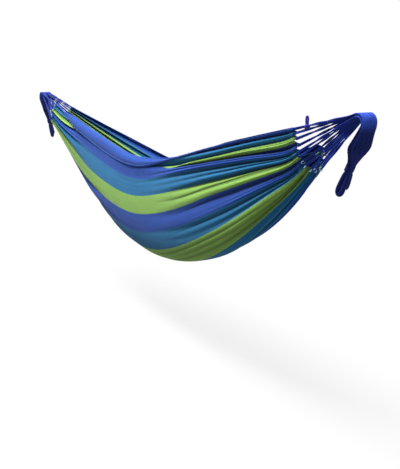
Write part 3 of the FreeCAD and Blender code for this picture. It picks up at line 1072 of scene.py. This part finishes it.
def whipping(name, side):
    """Twine wound round the neck of a tail."""
    width, depth = (v / 2 + TWINE * 0.6 for v in TAIL[name]["neck"])
    turns = int((WHIPPING_END - TAIL_NECK) / (2 * TWINE * 0.96))
    angle = np.linspace(0, 2 * math.pi * turns, 30 * turns)
    along = TAIL_NECK + TWINE + (WHIPPING_END - TAIL_NECK - 2 * TWINE) * angle / angle[-1]
    line = tail_point(side, depth * np.cos(angle), width * np.sin(angle), along)
    tubes = Tubes()
    tubes.add(line, TWINE, lay=0.006, depth=0.08)
    piece = tubes.piece(name + "_whipping_twine", WHIPPING)
    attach(piece, name + "_tail")
    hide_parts(name + "_whipping")


# One side of the eye, as distance out from its middle and down the tail.
EYE_SIDE = [(0.0040, 0.157), (0.0060, 0.168), (0.0082, 0.184), (0.0096, 0.204),
            (0.0102, 0.226), (0.0098, 0.2400), (0.0062, 0.2492)]
EYE_TIP = (0.0, 0.2524)


def eye(name, side):
    """The served rope that leaves the whipping, makes the eye and goes back into it."""
    route = EYE_SIDE + [EYE_TIP] + [(-out, along) for out, along in reversed(EYE_SIDE)]
    radial, along = np.array(route).T
    line = smooth_line(tail_point(side, radial, np.zeros(len(route)), along), 420)
    share = np.linspace(0, 1, len(line))
    growth = eased(0.5 - np.abs(share - 0.5), 0.0, 0.16)
    thick = EYE_CORD_START + (EYE_CORD - EYE_CORD_START) * growth
    served = thick * (1 + 0.035 * np.cos(2 * math.pi * run_of(line) / SERVING_PITCH))
    tubes = Tubes()
    tubes.add(line, served, sides=18)
    piece = tubes.piece(name + "_eye_rope", WHIPPING)
    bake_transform(piece)
    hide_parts(name + "_eye_loop")


# The free end of the whipping cord: out from the support, along Y and down the tail.
FREE_END = [
    (0.0000, 0.0120, 0.162),
    (0.0016, 0.0150, 0.171),
    (0.0030, 0.0182, 0.182),
    (0.0026, 0.0206, 0.195),
    (0.0036, 0.0226, 0.209),
    (0.0030, 0.0244, 0.223),
    (0.0024, 0.0262, 0.2365),
]
FREE_END_SPREAD = {"left": 0.3, "right": 1.0}  # how far each one stands off beside its eye
FREE_END_RADIUS, FREE_END_TAPER = 0.0046, 0.60


def nurbs_line(name, route):
    """Points along the smooth NURBS spline of a route."""
    data = bpy.data.curves.new(name, "CURVE")
    data.dimensions = "3D"
    data.resolution_u = 12
    spline = data.splines.new("NURBS")
    spline.points.add(len(route) - 1)
    for point, place in zip(spline.points, route):
        point.co = (*place, 1)
    spline.order_u = 3
    spline.use_endpoint_u = True
    guide = bpy.data.objects.new(name, data)
    bpy.context.scene.collection.objects.link(guide)
    bpy.context.view_layer.update()
    mesh = bpy.data.meshes.new_from_object(guide)
    line = np.array([v.co for v in mesh.vertices])
    bpy.data.objects.remove(guide)
    return line


def free_end(name, side):
    """The rope end that hangs beside the eye, pointed where it is fused."""
    spread = FREE_END_SPREAD[name]
    first = FREE_END[0][1]
    route = [tail_point(side, out, first + spread * (across - first), along)
             for out, across, along in FREE_END]
    line = resampled(nurbs_line(name + "_free_end_line", route), 90)
    share = np.linspace(0, 1, len(line))
    radius = FREE_END_RADIUS * (1 - FREE_END_TAPER * eased(share, 0.84, 1.0))
    tubes = Tubes()
    tubes.add(line, radius, sides=18, lay=0.030, depth=0.09)
    piece = tubes.piece(name + "_free_end", BUNDLE)
    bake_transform(piece)
    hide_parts(name + "_whipping_end")


for name, side in SIDES.items():
    whipping(name, side)
    eye(name, side)
    free_end(name, side)

# ---- knot by the near corner

KNOT_SIZE = 0.0026
KNOT_RADIUS = 0.0033
KNOT_LAY = 0.012
LOOP_FACING = 0.7  # along X and along Y: the loop is turned halfway between them


def corner_knot():
    """A trefoil knot round the first clew."""
    low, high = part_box("right_corner_knot")
    centre = np.array((low + high) / 2)
    t = full_turn(150)
    knot = np.stack([np.sin(t) + 2 * np.sin(2 * t), np.cos(t) - 2 * np.cos(2 * t),
                     -1.6 * np.sin(3 * t)], -1)
    tubes = Tubes()
    tubes.add(centre + knot * KNOT_SIZE, KNOT_RADIUS, sides=10, lay=KNOT_LAY, closed=True)
    piece = tubes.piece("corner_knot", KNOT_CORD)
    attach(piece, "bed")
    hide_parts("right_corner_knot")


def corner_loop():
    """The small upright loop that comes out of the knot."""
    low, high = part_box("right_corner_loop")
    middle = np.array((low + high) / 2)
    foot, head = low.z - 0.004, high.z - 0.0028
    route = [(-0.0024, foot), (-0.0032, foot + 0.008), (-0.0034, head - 0.010),
             (-0.0026, head - 0.003), (0.0, head), (0.0028, head - 0.004),
             (0.0034, head - 0.011), (0.0030, foot + 0.008), (0.0022, foot)]
    points = [(*(middle[:2] + LOOP_FACING * out), z) for out, z in route]
    tubes = Tubes()
    tubes.add(smooth_line(points, 90), KNOT_RADIUS, sides=9, lay=KNOT_LAY)
    piece = tubes.piece("corner_loop_cord", KNOT_CORD)
    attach(piece, "corner_loop")
    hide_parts("right_corner_loop")


corner_knot()
corner_loop()

# ---- floor and lights

FLOOR = -1.06
FLOOR_REACH = 60.0
FLOOR_FINISH = {
    "Base Color": (0.035, 0.035, 0.035, 1),
    "Roughness": 1.0,
    "Specular IOR Level": 0.0,
    "Emission Color": (1, 1, 1, 1),
    "Emission Strength": 0.85,
}
# The backdrop's strength falls from the first height up the sky to the second.
DIMMING = {"From Min": 0.20, "From Max": 0.60, "To Min": 1.0, "To Max": 0.30}
KEY_PLACE, KEY_TARGET = (0.65, -0.95, 1.85), (1.25, -0.15, -0.20)
KEY_SIZE, KEY_WATTS, KEY_SPREAD = 0.7, 23, math.radians(60)


def make_floor():
    """A pale, softly glowing floor that meets the backdrop at the horizon."""
    surface = Surface("pale_floor")
    set_inputs(surface.shader, FLOOR_FINISH)
    signs = [(-1, -1), (1, -1), (1, 1), (-1, 1)]
    corners = [(FLOOR_REACH * x, FLOOR_REACH * y, FLOOR) for x, y in signs]
    floor = add_mesh("floor", corners, [(0, 1, 2, 3)], surface.material)


def make_backdrop():
    """A pale horizon under a dimmer sky."""
    world = bpy.data.worlds.new("studio")
    world.use_nodes = True
    nodes, links = world.node_tree.nodes, world.node_tree.links
    background = nodes["Background"]
    set_inputs(background, {"Color": (1, 1, 1, 1)})
    direction = nodes.new("ShaderNodeTexCoord").outputs["Generated"]
    parts = nodes.new("ShaderNodeSeparateXYZ")
    links.new(direction, parts.inputs[0])
    dimming = nodes.new("ShaderNodeMapRange")
    dimming.interpolation_type = "SMOOTHSTEP"
    set_inputs(dimming, DIMMING)
    links.new(parts.outputs[2], dimming.inputs["Value"])
    links.new(dimming.outputs[0], background.inputs["Strength"])
    bpy.context.scene.world = world


def make_sun(name, energy, softness, toward):
    """A sun that stands toward a direction; softness is its width in degrees."""
    data = bpy.data.lights.new(name, "SUN")
    data.energy = energy
    data.angle = math.radians(softness)
    aimed(data, "Z", toward)


def make_key():
    """A soft disk that lights the near rim and the left of the bed."""
    data = bpy.data.lights.new("key", "AREA")
    data.shape = "DISK"
    data.size = KEY_SIZE
    data.energy = KEY_WATTS
    data.spread = KEY_SPREAD
    key = aimed(data, "-Z", Vector(KEY_TARGET) - Vector(KEY_PLACE))
    key.location = KEY_PLACE


make_floor()
make_backdrop()
make_sun("overhead", 12.0, 25, (-0.35, -0.18, 0.92))
make_sun("fill", 2.5, 40, (0.35, 0.80, 0.45))
make_key()
bpy.context.scene.view_settings.view_transform = "Standard"
